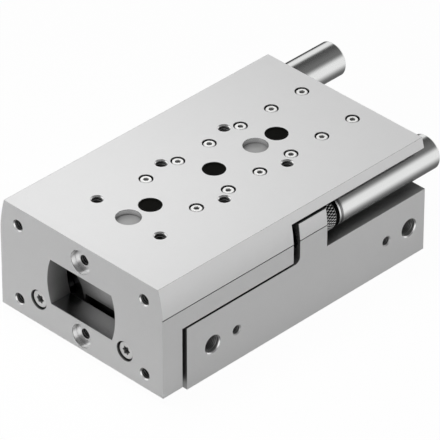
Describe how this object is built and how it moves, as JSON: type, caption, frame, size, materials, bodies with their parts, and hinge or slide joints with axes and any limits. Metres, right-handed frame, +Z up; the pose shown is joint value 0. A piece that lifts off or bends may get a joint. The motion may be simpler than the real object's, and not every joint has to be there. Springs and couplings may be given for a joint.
{
  "type": "pneumatic slide table",
  "caption": "Compact twin-piston pneumatic slide table: a ball-guided slide with top and front mounting faces, moved along a housing, with shock absorbers at both stroke ends.",
  "frame": {"origin": "centre of the housing's flat underside, its mounting face", "axes": "+Z up out of the mounting face, the slide advances towards -Y, +X is the side with the air ports"},
  "size_m": [0.103, 0.2045, 0.0602],
  "materials": {
    "slide_aluminium": "fine milled, clear anodised",
    "housing_aluminium": "clear anodised",
    "cap_aluminium": "turned, clear anodised",
    "rail_steel": "ground",
    "screw_steel": "zinc plated",
    "bearing_steel": "polished balls",
    "rod_steel": "hard chromed and ground",
    "sleeve_steel": "polished",
    "grip_steel": "knurled, dark",
    "spring_steel": "drawn wire",
    "ring_steel": "phosphated",
    "black_plastic": "moulded",
    "cage_plastic": "moulded",
    "seal_rubber": "moulded",
    "wear_plastic": "filled slide plastic",
    "bush_bronze": "sintered",
    "magnet_ferrite": "bonded magnet"
  },
  "bodies": {
    "housing": {"housing": "housing_aluminium", "guide_rail": "rail_steel", "guide_rail_screws": "screw_steel", "front_bearing_caps": "cap_aluminium", "rod_seals": "seal_rubber", "rod_bushes": "bush_bronze", "rear_end_caps": "cap_aluminium", "front_o_rings": "seal_rubber", "rear_o_rings": "seal_rubber", "front_circlips": "ring_steel", "rear_circlips": "ring_steel", "absorber_body_right": "grip_steel", "absorber_ring_right": "black_plastic", "absorber_sleeve_right": "sleeve_steel", "absorber_adjuster_right": "screw_steel", "absorber_seal_right": "seal_rubber", "absorber_spring_right": "spring_steel"},
    "slide": {"slide": "slide_aluminium", "slide_rail": "rail_steel", "slide_rail_screws": "screw_steel", "access_hole_plugs": "black_plastic", "yoke_screws": "screw_steel", "piston_rods": "rod_steel", "pistons": "cap_aluminium", "piston_nuts": "screw_steel", "piston_seals": "seal_rubber", "piston_magnets": "magnet_ferrite", "piston_wear_rings": "wear_plastic", "absorber_body_left": "grip_steel", "absorber_ring_left": "black_plastic", "absorber_sleeve_left": "sleeve_steel", "absorber_adjuster_left": "screw_steel", "absorber_seal_left": "seal_rubber", "absorber_spring_left": "spring_steel"},
    "ball_cage_left": {"ball_cage_left": "cage_plastic", "guide_balls_left": "bearing_steel"},
    "ball_cage_right": {"ball_cage_right": "cage_plastic", "guide_balls_right": "bearing_steel"},
    "absorber_rod_right": {"absorber_rod_right": "rod_steel", "absorber_tip_right": "black_plastic"},
    "absorber_rod_left": {"absorber_rod_left": "rod_steel", "absorber_tip_left": "black_plastic"}
  },
  "joints": [
    {"name": "slide_travel", "type": "slide", "parent": "housing", "child": "slide", "axis": [0, -1, 0], "range_m": [0, 0.05]},
    {"name": "cage_travel_left", "type": "slide", "parent": "housing", "child": "ball_cage_left", "axis": [0, -1, 0], "range_m": [0, 0.025]},
    {"name": "cage_travel_right", "type": "slide", "parent": "housing", "child": "ball_cage_right", "axis": [0, -1, 0], "range_m": [0, 0.025]},
    {"name": "absorber_rod_right_travel", "type": "slide", "parent": "housing", "child": "absorber_rod_right", "axis": [0, -1, 0], "range_m": [0, 0.012]},
    {"name": "absorber_rod_left_travel", "type": "slide", "parent": "slide", "child": "absorber_rod_left", "axis": [0, 1, 0], "range_m": [0, 0.012]}
  ],
  "couplings": [
    {"joint": "cage_travel_left", "follows": "slide_travel", "ratio": 0.5},
    {"joint": "cage_travel_right", "follows": "slide_travel", "ratio": 0.5},
    {"joint": "absorber_rod_right_travel", "follows": "slide_travel", "ratio": 0.24},
    {"joint": "absorber_rod_left_travel", "follows": "slide_travel", "ratio": 0.24}
  ]
}
